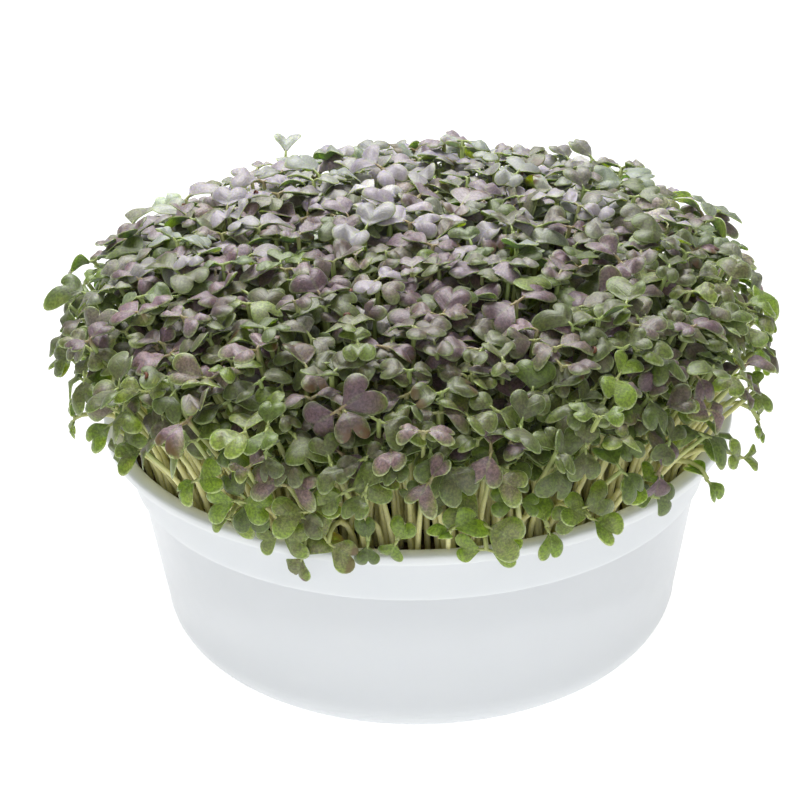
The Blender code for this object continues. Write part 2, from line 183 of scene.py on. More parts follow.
# Seedlings that hang out over the lip or stand out in front: direction in degrees, distance out,
# height and leaf length in mm, spin in degrees, purple and withered from 0 to 1
OUTSIDE = (
    (196, 99.0, 76.5, 6.2, 80, 0.15, 0.0),
    (239, 95.0, 75.0, 8.2, 15, 0.30, 0.0),
    (243, 96.5, 83.0, 8.8, -55, 0.10, 0.0),
    (248, 95.0, 73.5, 8.4, 25, 0.35, 0.0),
    (252, 96.5, 69.5, 9.6, 70, 0.45, 1.0),
    (256, 96.0, 74.0, 8.4, -40, 0.45, 0.8),
    (252, 95.5, 80.5, 7.0, 10, 0.50, 0.0),
    (262, 95.0, 75.0, 6.8, 85, 0.05, 0.0),
    (266.5, 95.0, 75.5, 7.0, 60, 0.05, 0.0),
    (259, 97.0, 90.0, 9.8, 30, 0.25, 0.0),
    (279, 97.0, 80.5, 10.6, -30, 0.40, 0.0),
    (280, 96.0, 72.0, 7.6, 5, 0.20, 0.0),
    (290, 94.5, 75.0, 8.2, 75, 0.10, 0.0),
    (295, 96.0, 79.0, 8.6, 20, 0.35, 0.0),
    (309, 98.0, 83.0, 9.0, 65, 0.95, 0.0),
    (309, 96.0, 75.0, 8.0, -10, 0.15, 0.0),
    (321, 98.0, 72.5, 6.6, 80, 0.10, 0.0),
    (326, 103.0, 76.5, 8.0, -20, 0.30, 0.0),
    (345, 98.0, 70.5, 7.4, 40, 0.20, 0.0),
    (15, 97.0, 72.5, 8.2, 60, 0.30, 0.0),
    (42, 97.5, 69.5, 7.6, -25, 0.15, 0.0),
    (66, 96.5, 73.5, 8.4, 10, 0.40, 0.0),
    (92, 97.0, 70.5, 7.8, 75, 0.20, 0.0),
    (118, 96.5, 74.5, 8.4, -50, 0.35, 0.0),
    (141, 97.5, 71.5, 7.4, 30, 0.10, 0.0),
    (166, 97.0, 73.5, 8.2, -10, 0.30, 0.0),
    (216, 97.0, 84.0, 7.4, 50, 0.20, 0.0),
    (257, 88.5, 108.0, 10.6, 40, 1.0, 0.0),
)

# Seed coats: unit shape and sizes, the fallen ones' direction in degrees and distance out,
# and where a coat still clings to the nearest leaf
COAT_OPENING = 0.55
COAT_CRUMPLE = 0.16
COAT_THICKNESS = 0.16
COAT_STRETCH = 1.25
COAT_SQUASH = 0.75
FALLEN_COAT = 0.0010
CLINGING_COAT = 0.0009
FALLEN_COATS = ((262, 0.0785), (214, 0.0790), (318, 0.0788), (96, 0.0785))
FALLEN_COAT_LIFT = 0.0009
CLINGING_COATS = (
    (-0.062, -0.062, 0.107),
    (-0.017, -0.058, 0.121),
    (-0.016, -0.040, 0.123),
    (-0.046, 0.034, 0.121),
    (0.050, -0.060, 0.110),
    (0.030, 0.050, 0.122),
    (0.072, 0.030, 0.112),
    (-0.070, 0.030, 0.112),
)

# Colours. Of two, the second is for what is yellower, more purple or more in the painted light.
LEAF_GREENS = ((0.104, 0.161, 0.017), (0.163, 0.250, 0.010))
LEAF_DUSKS = ((0.136, 0.111, 0.056), (0.186, 0.110, 0.130))
# The bloom is partly real dust and partly a painted sheen and highlight on the upper leaves
LEAF_BLOOMS_AND_SHEENS = ((0.240, 0.264, 0.240), (0.288, 0.262, 0.298))
LEAF_RIB = (0.26, 0.33, 0.11)
LEAF_MARGIN = (0.40, 0.49, 0.23)
LEAF_UNDERSIDE = (0.22, 0.31, 0.07)
LEAF_WITHERED = (0.100, 0.038, 0.015)
STEM_LOWS = ((0.86, 0.825, 0.42), (0.79, 0.79, 0.34))
STEM_HIGHS = ((0.30, 0.40, 0.12), (0.42, 0.46, 0.16))
STEM_PINK = (0.30, 0.13, 0.13)
STEM_STREAK = (0.40, 0.40, 0.20)
TUB_WHITES = ((0.750, 0.790, 0.815), (0.780, 0.815, 0.835))
# Painted glow inside the lip, lightening the shade there
LIP_PAINTED_GLOW = (0.91, 0.92, 0.76)
MEDIUM_BROWNS = ((0.042, 0.026, 0.013), (0.150, 0.092, 0.048))
MEDIUM_FLECK = (0.28, 0.20, 0.12)
COAT_BROWNS = ((0.075, 0.022, 0.012), (0.23, 0.085, 0.04))

# Studio: name, place, size and power of each light, and where they all point
LIGHTS = (
    ("top_light", (-0.12, 0.55, 1.42), 1.0, 12.0),
    ("back_light", (-0.18, 0.90, 1.35), 1.4, 25.0),
    ("front_light", (0.05, -1.50, 0.55), 1.3, 7.0),
)
LIGHTS_AIM = (0, 0, 0.08)
WORLD_STRENGTH = 0.32
FLOOR_SIZE = 12.0
FLOOR_GREY = 0.30
FLOOR_GLOW = 0.86

# Camera
EYE = (0.0, -0.6144, 0.3839)
AIM = (-0.00504, 0.0, 0.0661)
ROLL = math.radians(-1.39)
LENS = 108.0
SENSOR = 36.0


def unit(vector):
    return vector / np.linalg.norm(vector)


def held(value):
    """The value, held between 0 and 1."""
    return min(1.0, max(0.0, value))


def out_from_axis(direction):
    return np.array((math.cos(direction), math.sin(direction), 0.0))


def arc(centre, radius, start, end, steps):
    """Points along an arc in the (distance out, height) plane, from one angle in degrees to another."""
    points = []
    for step in range(steps + 1):
        angle = math.radians(start + (end - start) * step / steps)
        points.append((centre[0] + radius * math.cos(angle), centre[1] + radius * math.sin(angle)))
    return points


# Tub and medium

def wall_radius(height):
    """The tub's outer wall below the collar, which narrows evenly towards its foot."""
    top = TUB_HEIGHT - COLLAR_DEPTH
    share = (top - height) / (top - CORNER_RADIUS)
    wall_top_radius = COLLAR_LOW_RADIUS - STEP_IN
    return wall_top_radius + (WALL_LOW_RADIUS - wall_top_radius) * share


def inner_corner(radius, start, end):
    centre = (WALL_LOW_RADIUS - CORNER_RADIUS, FLOOR_THICKNESS + CORNER_RADIUS - WALL_THICKNESS)
    return arc(centre, radius, start, end, ROUND_STEPS)


def tub_profile():
    """From the middle of the inner floor, up the inside, over the lip and down the outside."""
    collar_low = TUB_HEIGHT - COLLAR_DEPTH
    lip_low = TUB_HEIGHT - LIP_DEPTH
    top = TUB_HEIGHT - LIP_ROUND
    step = LIP_ROUND / 2
    few = ROUND_STEPS // 2
    profile = [(0.0, FLOOR_THICKNESS)]
    profile += inner_corner(CORNER_RADIUS - WALL_THICKNESS, -90, 0)
    profile.append((wall_radius(collar_low) - WALL_THICKNESS, collar_low))
    profile.append((LIP_INNER_RADIUS - LIP_ROUND, lip_low))
    profile += arc((LIP_INNER_RADIUS + LIP_ROUND, top), LIP_ROUND, 180, 90, few)
    profile += arc((RIM_RADIUS - LIP_ROUND, top), LIP_ROUND, 90, 0, few)
    profile += arc((RIM_RADIUS - step, lip_low + step), step, 0, -90, few)
    profile += arc((COLLAR_TOP_RADIUS + step, lip_low - step), step, 90, 180, few)
    collar_round = (COLLAR_LOW_RADIUS - LIP_ROUND, collar_low + LIP_ROUND)
    profile += arc(collar_round, LIP_ROUND, 0, COLLAR_ROUND_END, few)
    profile.append((wall_radius(collar_low), collar_low - step))
    corner = (WALL_LOW_RADIUS - CORNER_RADIUS, CORNER_RADIUS)
    profile += arc(corner, CORNER_RADIUS, 0, -90, ROUND_STEPS)
    profile.append((0.0, 0.0))
    return profile


def medium_side():
    """The medium's own outer side, from its top edge down to the middle of the tub's floor."""
    collar_low = TUB_HEIGHT - COLLAR_DEPTH
    lip_low = TUB_HEIGHT - LIP_DEPTH
    neck = wall_radius(collar_low) - WALL_THICKNESS
    share = (MEDIUM_TOP - collar_low) / (lip_low - collar_low)
    top_radius = neck + (LIP_INNER_RADIUS - LIP_ROUND - neck) * share
    profile = [(top_radius - SIDE_GAP, MEDIUM_TOP), (neck - SIDE_GAP, collar_low)]
    profile += inner_corner(CORNER_RADIUS - WALL_THICKNESS - SIDE_GAP, 0, -90)
    return profile + [(0.0, FLOOR_THICKNESS + SIDE_GAP)]


def turned(name, profile, sides):
    """A closed mesh turned about Z from a profile that starts and ends on the axis."""
    inner = profile[1:-1]
    angles = [2 * math.pi * k / sides for k in range(sides)]
    points = [(r * math.cos(a), r * math.sin(a), z) for r, z in inner for a in angles]
    first, last = len(points), len(points) + 1
    points += [(0.0, 0.0, profile[0][1]), (0.0, 0.0, profile[-1][1])]
    faces = []
    for k in range(sides):
        n = (k + 1) % sides
        faces.append((first, k, n))
        faces.append((last, (len(inner) - 1) * sides + n, (len(inner) - 1) * sides + k))
        for row in range(len(inner) - 1):
            a = row * sides
            faces.append((a + k, a + sides + k, a + sides + n, a + n))
    mesh = bpy.data.meshes.new(name)
    mesh.from_pydata(points, [], faces)
    return mesh


def add_piece(name, mesh, materials, slot, *nodes):
    ob = bpy.data.objects.new(name, mesh)
    bpy.context.scene.collection.objects.link(ob)
    for material in materials:
        mesh.materials.append(material)
    mesh.shade_smooth()
    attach(ob, "root")
    if nodes:
        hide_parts(*nodes)


# Leaf shape

def leaf_plan(steps, across):
    """A flat seed leaf: points (out, aside, share of the way to the margin), row by row, then the notch."""
    wedge_steps, lobe_steps = steps
    centre_out, centre_aside = LOBE_CENTRE
    away = math.hypot(centre_out, centre_aside - STALK_HALF_WIDTH)
    bearing = math.atan2(centre_aside - STALK_HALF_WIDTH, centre_out) + math.asin(LOBE_RADIUS / away)
    reach = math.sqrt(away ** 2 - LOBE_RADIUS ** 2)
    edge = []
    for k in range(wedge_steps):
        along = reach * k / wedge_steps
        edge.append((along * math.cos(bearing), STALK_HALF_WIDTH + along * math.sin(bearing)))
    start = bearing + math.pi / 2
    for k in range(lobe_steps + 1):
        angle = start + (LOBE_END - start) * k / lobe_steps
        out = centre_out + LOBE_RADIUS * math.cos(angle)
        edge.append((out, centre_aside + LOBE_RADIUS * math.sin(angle)))
    points = []
    for row, (out, aside) in enumerate(edge):
        spine = NOTCH * row / len(edge)
        for s in across:
            points.append((spine + abs(s) * (out - spine), s * aside, abs(s)))
    points.append((NOTCH, 0.0, 1.0))
    return np.array(points)


def leaf_faces(steps, across):
    """Faces of a closed leaf whose top points come first and whose underside repeats them."""
    columns = len(across)
    rows = sum(steps) + 1
    notch = rows * columns
    under = notch + 1
    top = []
    for row in range(rows - 1):
        for c in range(columns - 1):
            a = row * columns + c
            top.append((a, a + columns, a + columns + 1, a + 1))
    last = (rows - 1) * columns
    top += [(last + c, notch, last + c + 1) for c in range(columns - 1)]
    faces = top + [tuple(i + under for i in reversed(face)) for face in top]
    ends = [row * columns for row in range(rows)]
    right = [a + columns - 1 for a in ends] + [notch]
    loop = list(range(columns - 1)) + right + list(reversed(ends))[:-1] + [0]
    for a, b in zip(loop, loop[1:]):
        faces.append((a, b, b + under, a + under))
    return faces


def proxy_faces():
    """Triangles over the top of the plain leaf, which room is tested with."""
    columns = len(PLAIN_ACROSS)
    faces = []
    for row in range(sum(PLAIN_STEPS)):
        for c in range(columns - 1):
            a = row * columns + c
            faces += [(a, a + columns, a + columns + 1), (a, a + columns + 1, a + 1)]
    return faces


def leaf_height(plan, form):
    """The flat plan bent: cupped, folded along the midrib, drooping, curled and rippled, its lobes puffed."""
    cup, fold, droop, curl, twist, puff, skew, phase = form
    x, y = plan[:, 0] * (1 + skew * plan[:, 1]), plan[:, 1] * (1 + 0.6 * skew * np.sign(plan[:, 1]))
    folded = y * math.cos(fold)
    outer = np.clip(np.hypot(x - CURL_CENTRE, y) - CURL_START, 0, None)
    z = np.abs(y) * math.sin(fold) + cup * y ** 2 - droop * x ** 2 - curl * outer ** 2
    from_centre = ((x - LOBE_CENTRE[0]) ** 2 + (np.abs(y) - LOBE_CENTRE[1]) ** 2) / LOBE_RADIUS ** 2
    z += puff * np.clip(1 - from_centre, 0, 1)
    z += twist * x * y + RIPPLE * np.sin(8 * x + 6 * y + phase)
    return np.stack((x - 0.25 * droop ** 2 * x ** 3, folded, z), axis=1)


def random_form(draw):
    """Cup, fold, droop, curl, twist, puff, skew and phase of the ripple, as leaf_height takes them."""
    return (
        draw.uniform(-0.90, 0.0),
        draw.gauss(0.26, 0.22),
        draw.uniform(0.0, 0.60),
        draw.uniform(-0.2, 1.3),
        draw.gauss(0, 0.20),
        draw.uniform(0.08, 0.22),
        draw.gauss(0, 0.14),
        draw.uniform(0, 6.28),
    )


def tube_faces(rings, sides):
    faces = []
    for ring in range(rings - 1):
        for k in range(sides):
            a = ring * sides + k
            b = ring * sides + (k + 1) % sides
            faces.append((a, b, b + sides, a + sides))
    faces.append(tuple(reversed(range(sides))))
    faces.append(tuple((rings - 1) * sides + k for k in range(sides)))
    return faces


def tube_points(path, radii, sides, reference):
    """Rings round a path, their start set by a direction that the path never runs along."""
    ahead = np.gradient(path, axis=0)
    ahead /= np.linalg.norm(ahead, axis=1, keepdims=True)
    side = reference - ahead * (ahead @ reference)[:, None]
    side /= np.linalg.norm(side, axis=1, keepdims=True)
    other = np.cross(ahead, side)
    angles = np.arange(sides) * 2 * math.pi / sides
    rings = (
        path[:, None, :]
        + (radii[:, None] * np.cos(angles))[..., None] * side[:, None, :]
        + (radii[:, None] * np.sin(angles))[..., None] * other[:, None, :]
    )
    return rings.reshape(-1, 3)


FINE_LEAF = (leaf_plan(FINE_STEPS, FINE_ACROSS), leaf_faces(FINE_STEPS, FINE_ACROSS))
PLAIN_LEAF = (leaf_plan(PLAIN_STEPS, PLAIN_ACROSS), leaf_faces(PLAIN_STEPS, PLAIN_ACROSS))
PROXY_FACES = proxy_faces()
STEM_FACES = tube_faces(STEM_RINGS, STEM_SIDES)
STALK_FACES = tube_faces(STALK_RINGS, STALK_SIDES)


class Seedling:
    """One plant: where it is rooted, where its head is and which way that faces, and its two leaves."""

    def __init__(self, root, head, facing, spin, length, purple, arch, fine, draw):
        self.root = root
        self.head = head
        self.facing = unit(facing)
        self.purple = purple
        self.fine = fine
        # Painted light: paler high up and at the back, towards the lamps; yellower low down
        self.light = held(draw.gauss(-0.02 + 0.53 * (head[2] - 0.080) / 0.040 + 0.46 * head[1] / 0.09, 0.16))
        self.age = draw.uniform(0.5, 1.0) if draw.random() < AGED_SHARE else 0.0
        self.yellow = held(draw.gauss(0.69 - 0.50 * (head[2] - 0.075) / 0.045, 0.20))
        self.direction = math.atan2(head[1], head[0])
        sideways = np.cross((0.0, 0.0, 1.0), self.facing)
        if np.linalg.norm(sideways) < 0.1:
            sideways = np.cross(out_from_axis(self.direction), self.facing)
        level = unit(sideways)
        climbing = np.cross(self.facing, level)
        self.leaves = []
        for number in (0, 1):
            yaw = spin + math.pi * number + draw.gauss(0, 0.16)
            rise = draw.gauss(0.16, 0.22)
            flat = level * math.cos(yaw) + climbing * math.sin(yaw)
            along = flat * math.cos(rise) + self.facing * math.sin(rise)
            up = self.facing * math.cos(rise) - flat * math.sin(rise)
            size = length * (1.0 if number == 0 else draw.uniform(0.74, 1.0))
            stalk = size * draw.uniform(0.08, 0.28)
            self.leaves.append((along, np.cross(up, along), up, size, stalk, random_form(draw)))
        self.path = self.stem_path(arch)

    def stem_path(self, arch):
        """From below the medium, up and over to the head."""
        start = self.root - np.array((0, 0, ROOT_DEPTH))
        rise = self.head[2] - self.root[2]
        if arch:
            radial = out_from_axis(self.direction)
            over = np.array((0, 0, TUB_HEIGHT + OVER_LIP[1]))
            points = [start, self.root + (0, 0, 0.010), over + radial * OVER_LIP[0],
                      over + radial * (np.linalg.norm(self.head[:2]) - 0.002), self.head]
        else:
            lean = (self.head - self.root) * (1, 1, 0)
            points = [start, self.root + lean * 0.06 + (0, 0, rise * 0.42),
                      self.head - self.facing * rise * 0.16 - lean * 0.12 - (0, 0, rise * 0.08), self.head]
        shares = np.linspace(0, 1, STEM_RINGS)[:, None]
        points = [np.asarray(p, float)[None, :] for p in points]
        while len(points) > 1:
            points = [a + (b - a) * shares for a, b in zip(points, points[1:])]
        return points[0]

    def leaf(self, number, plan, extra=1.0):
        """A leaf's top where it stands, from a flat plan."""
        along, aside, up, size, stalk, form = self.leaves[number]
        bent = leaf_height(plan, form) * size * extra
        base = self.head + along * stalk
        return base + bent @ np.stack((along, aside, up))

    def proxy(self):
        """Few-sided leaves and a ribbon of stem, as points and triangles."""
        plan = PLAIN_LEAF[0][:-1]
        points = np.concatenate((self.leaf(0, plan, PROXY_SIZE), self.leaf(1, plan, PROXY_SIZE)))
        faces = PROXY_FACES + [tuple(i + len(plan) for i in f) for f in PROXY_FACES]
        aside = out_from_axis(self.direction + math.pi / 2) * STEM_RADIUS[0]
        first = len(points)
        points = np.concatenate((points, self.path - aside, self.path + aside))
        for k in range(STEM_RINGS - 2):
            a, b = first + k, first + STEM_RINGS + k
            faces += [(a, a + 1, b + 1), (a, b + 1, b)]
        return points, faces

    def grow_stem(self, pool):
        radii = np.linspace(*STEM_RADIUS, STEM_RINGS)
        radii[0] *= ROOT_TAPER
        aside = out_from_axis(self.direction + math.pi / 2)
        along = np.repeat(np.linspace(0, 1, STEM_RINGS), STEM_SIDES)
        place = np.stack((along * 0, along, along * 0), axis=1)
        pool.add(tube_points(self.path, radii, STEM_SIDES, aside), STEM_FACES, place, self, STEM)

    def grow_stalk(self, number, pool):
        out, side, up, size, stalk, form = self.leaves[number]
        tip = self.leaf(number, np.array(((STALK_INTO_LEAF, 0.0, 0.0),)))[0] - up * STALK_BELOW_LEAF
        start = self.head - self.facing * STALK_INTO_STEM
        knee = self.head + out * stalk * 0.5 + self.facing * 0.0001
        shares = np.linspace(0, 1, STALK_RINGS)[:, None]
        path = start * (1 - shares) ** 2 + 2 * knee * shares * (1 - shares) + tip * shares ** 2
        radii = np.linspace(*STALK_RADIUS, STALK_RINGS)
        along = np.ones(STALK_RINGS * STALK_SIDES)
        place = np.stack((along * 0, along, along * 0), axis=1)
        pool.add(tube_points(path, radii, STALK_SIDES, side), STALK_FACES, place, self, STEM)

    def grow_leaf(self, number, pool):
        plan, faces = FINE_LEAF if self.fine else PLAIN_LEAF
        up = self.leaves[number][2]
        top = self.leaf(number, plan)
        share = plan[:, 2]
        thick = LEAF_THICKNESS + (MARGIN_THICKNESS - LEAF_THICKNESS) * share ** 2
        rib = MIDRIB_DEPTH * np.clip(1 - share * 3, 0, 1) * (1.1 - plan[:, 0])
        below = top - up * (thick + rib)[:, None]
        place = np.stack((share, plan[:, 0], np.zeros_like(share)), axis=1)
        places = np.concatenate((place, place + (0, 0, 1)))
        pool.add(np.concatenate((top, below)), faces, places, self, LEAF)

    def grow(self, pool):
        """Adds the plant's points, faces and attributes to a pool of lists."""
        self.grow_stem(pool)
        for number in (0, 1):
            self.grow_stalk(number, pool)
            self.grow_leaf(number, pool)


class Pool:
    """Gathers the points, faces and attributes of many plants for one mesh.

    A point's place is how far it is across its leaf, how far along its leaf or stem, and 1 on an underside.
    Its tone is how purple its plant is, how much painted light it has, and how yellow it is.
    """

    def __init__(self):
        self.points, self.faces, self.places, self.tones, self.ages, self.kinds = [], [], [], [], [], []
        self.count = 0

    def add(self, points, faces, place, plant, kind):
        self.points.append(points)
        self.faces += [tuple(i + self.count for i in face) for face in faces]
        self.places.append(place)
        self.tones.append(np.tile((plant.purple, plant.light, plant.yellow), (len(points), 1)))
        self.ages += [plant.age if kind == LEAF else 0.0] * len(points)
        self.kinds += [kind] * len(faces)
        self.count += len(points)

    def mesh(self, name):
        mesh = bpy.data.meshes.new(name)
        mesh.from_pydata(np.concatenate(self.points).tolist(), [], self.faces)
        for label, values in (("place", self.places), ("tone", self.tones)):
            attribute = mesh.attributes.new(label, "FLOAT_VECTOR", "POINT")
            attribute.data.foreach_set("vector", np.concatenate(values).astype(np.float32).ravel())
        mesh.attributes.new("age", "FLOAT", "POINT").data.foreach_set("value", self.ages)
        mesh.polygons.foreach_set("material_index", self.kinds)
        return mesh


# Planting

def canopy_outline():
    """The canopy's outline: distance out and height, from the middle of its top to its tucked-in hem."""
    out_power, up_power = CANOPY_SQUARENESS
    points = []
    for step in range(CANOPY_STEPS + 1):
        out = math.sin(math.pi / 2 * step / CANOPY_STEPS)
        up = max(0.0, 1 - out ** out_power) ** (1 / up_power)
        height = CANOPY_WAIST_HEIGHT + (CANOPY_TOP - CANOPY_WAIST_HEIGHT) * up
        points.append((CANOPY_RADIUS * out, height))
    for step in range(1, CANOPY_STEPS // 4):
        angle = math.pi / 2 * step / (CANOPY_STEPS // 4)
        points.append((
            CANOPY_RADIUS - SKIRT_TUCK * (1 - math.cos(angle)),
            CANOPY_WAIST_HEIGHT - SKIRT_DROP * math.sin(angle),
        ))
    return np.array(points)


CANOPY = canopy_outline()


def spread_over_canopy(count):
    """Heads spread over the canopy from its middle: distance out, height and place in the row, 0 to 1."""
    middle = (CANOPY[1:] + CANOPY[:-1]) / 2
    along = CANOPY[1:] - CANOPY[:-1]
    crowd = np.interp(middle[:, 1], *CROWDING)
    areas = np.concatenate(((0.0,), np.cumsum(np.hypot(*along.T) * middle[:, 0] * crowd)))
    wanted = areas[-1] * (np.arange(count) + 0.5) / count
    return np.interp(wanted, areas, CANOPY[:, 0]), np.interp(wanted, areas, CANOPY[:, 1]), wanted / areas[-1]


def slope_at(height):
    """Outward slope of the canopy at a height, as the parts out and up."""
    k = int(np.argmin(np.abs(CANOPY[:, 1] - height)))
    k = min(max(k, 1), len(CANOPY) - 2)
    along = CANOPY[k + 1] - CANOPY[k - 1]
    return (-along[1], along[0]) if height > CANOPY_WAIST_HEIGHT else (1.0, 0.0)


def in_the_way_of_tub(points):
    """How many points fall inside the lip, or in the wall below it."""
    out = np.hypot(points[:, 0], points[:, 1])
    low = points[:, 2] < TUB_HEIGHT + TUB_CLEARANCE
    return int(np.sum(low & (out > LIP_ZONE[0]) & (out < LIP_ZONE[1]) & (points[:, 2] > LIP_ZONE_LOW)))


def bump_in(direction, degrees, width):
    """1 at a direction, falling smoothly to 0 some tens of degrees to its sides."""
    away = (math.degrees(direction) - degrees + 180) % 360 - 180
    return math.exp(-((away / width) ** 2))


def uneven(out, up, direction):
    """The canopy is not quite round: a fuller shoulder at the back right, a higher hem at the left."""
    shoulder = np.interp(out, (0.045, 0.080), (0.0, 1.0))
    lift = sum(most * bump_in(direction, degrees, width) for degrees, width, most in SHOULDERS)
    up = up + shoulder * np.interp(up, (0.085, 0.100), (0.0, 1.0)) * lift
    hem = np.interp(up, (0.080, 0.108), (1.0, 0.0))
    degrees, width, most = HIGH_HEM
    return up + most * hem * bump_in(direction, degrees, width)


def standing(place, depths, length, purple, tried, draw):
    """A seedling of the canopy, its place shifted a little more with each try."""
    out, up, direction, root_distance = place
    turn = direction + draw.gauss(0, 0.02)
    radial = out_from_axis(turn)
    slope_out, slope_up = slope_at(up)
    surface = radial * out + (0, 0, uneven(out, up, turn))
    outward = unit(radial * slope_out + np.array((0, 0, slope_up)))
    wander = np.array([draw.uniform(-1, 1) for _ in range(3)]) * (0.001 + 0.004 * tried)
    less_low = min(1.0, max(0.3, (up - 0.080) / 0.020))
    sunk = draw.uniform(depths[0] - LAYER_OVERLAP, depths[1]) * less_low
    head = surface - outward * sunk + wander
    head[2] = min(head[2], CANOPY_TOP + ABOVE_TOP)
    head[:2] *= min(1.0, (CANOPY_RADIUS + BEYOND_SIDE) / np.linalg.norm(head[:2]))
    tilt = np.array([draw.gauss(0, 0.26) for _ in range(3)])
    facing = outward * 0.8 + np.array((0, 0, 0.75)) + tilt
    root = out_from_axis(direction + draw.gauss(0, 0.03)) * (root_distance + draw.uniform(-0.0012, 0))
    root = root + np.array((0, 0, MEDIUM_TOP))
    spin = draw.uniform(0, 2 * math.pi)
    size = length * (1 - 0.15 * tried)
    fine = depths[0] < PLAIN_DEPTH or up < PLAIN_ABOVE
    return Seedling(root, head, facing, spin, size, purple, up < ARCH_BELOW, fine, draw)


def hanging(row, tried, draw):
    """A seedling of the OUTSIDE table, turned a little further with each try."""
    degrees, distance, height, length, spin, purple, withered = row
    direction = math.radians(degrees)
    radial = out_from_axis(direction)
    head = radial * distance / 1000 + (0, 0, height / 1000)
    root_direction = direction + draw.uniform(-0.06, 0.06)
    root = out_from_axis(root_direction) * draw.uniform(0.076, ROOT_FIELD_RADIUS) + (0, 0, MEDIUM_TOP)
    facing = radial + (draw.gauss(0, 0.12), draw.gauss(0, 0.12), 0.35 + draw.gauss(0, 0.12))
    turn = math.radians(spin) + draw.uniform(-1, 1) * tried
    size = OUTSIDE_SIZE * length / 1000
    plant = Seedling(root, head, facing, turn, size, purple, head[2] < OUTSIDE_ARCH_BELOW, True, draw)
    plant.age = withered
    return plant


class Stand:
    """The seedlings planted so far, each with the tree of its triangles that room is tested with."""

    def __init__(self, most):
        self.planted = []
        self.trees = []
        self.heads = np.zeros((most, 3))

    def crossings(self, plant, tree, points, enough):
        """How often a plant crosses the tub and its neighbours, counted until there are enough."""
        crossed = TUB_COUNTS * in_the_way_of_tub(points[:-STEM_RINGS * 2])
        crossed += TUB_COUNTS * in_the_way_of_tub(plant.path)
        away = np.linalg.norm(self.heads[:len(self.trees)] - plant.head, axis=1)
        for k in np.nonzero(away < NEAR)[0]:
            crossed += len(tree.overlap(self.trees[k]))
            if crossed >= enough:
                break
        return crossed

    def settle(self, make, tries):
        """Plants the try that crosses the least, and says whether it still crosses something."""
        fewest = math.inf
        for attempt in range(tries):
            plant = make(attempt / tries)
            points, faces = plant.proxy()
            tree = BVHTree.FromPolygons(points.tolist(), faces)
            crossed = self.crossings(plant, tree, points, fewest)
            if crossed < fewest:
                fewest, best, best_tree = crossed, plant, tree
            if crossed == 0:
                break
        self.heads[len(self.trees)] = best.head
        self.trees.append(best_tree)
        self.planted.append(best)
        return fewest > 0


def plant_all(draw):
    """Places every seedling where the fewest of its parts cross others."""
    stand = Stand(SEEDLINGS + INNER_SEEDLINGS + len(OUTSIDE))
    for row in OUTSIDE:
        stand.settle(lambda tried: hanging(row, tried, draw), TRIES)
    outs, ups, shares = spread_over_canopy(SEEDLINGS)
    crossed = 0
    for i in np.argsort([draw.random() for _ in range(SEEDLINGS)]):
        deepness = draw.random()
        for share, *depths in LAYERS:
            deepness -= share
            if deepness <= 0:
                break
        purple = held(draw.gauss(0.15 + 0.55 * (ups[i] - 0.075) / 0.045, 0.28))
        length = draw.uniform(*LEAF_LENGTHS) * np.interp(ups[i], *TOP_GROWTH)
        place = (outs[i], ups[i], i * GOLDEN_ANGLE, ROOT_FIELD_RADIUS * shares[i] ** ROOT_CROWDING)
        crossed += stand.settle(lambda tried: standing(place, depths, length, purple, tried, draw), TRIES)
    for i in range(INNER_SEEDLINGS):
        k = int(draw.uniform(0.45, 1.0) * (SEEDLINGS - 1))
        root_distance = ROOT_FIELD_RADIUS * math.sqrt(draw.uniform(0.55, 1.0))
        place = (min(outs[k], INNER_OUT), max(ups[k], INNER_UP), draw.uniform(0, 2 * math.pi), root_distance)
        crossed += stand.settle(
            lambda tried: standing(place, INNER_DEPTHS, INNER_LENGTH, INNER_PURPLE, tried, draw), TRIES // 2
        )
    print("seedlings that still cross a neighbour:", crossed, "of", len(stand.planted))
    return stand.planted


# Materials

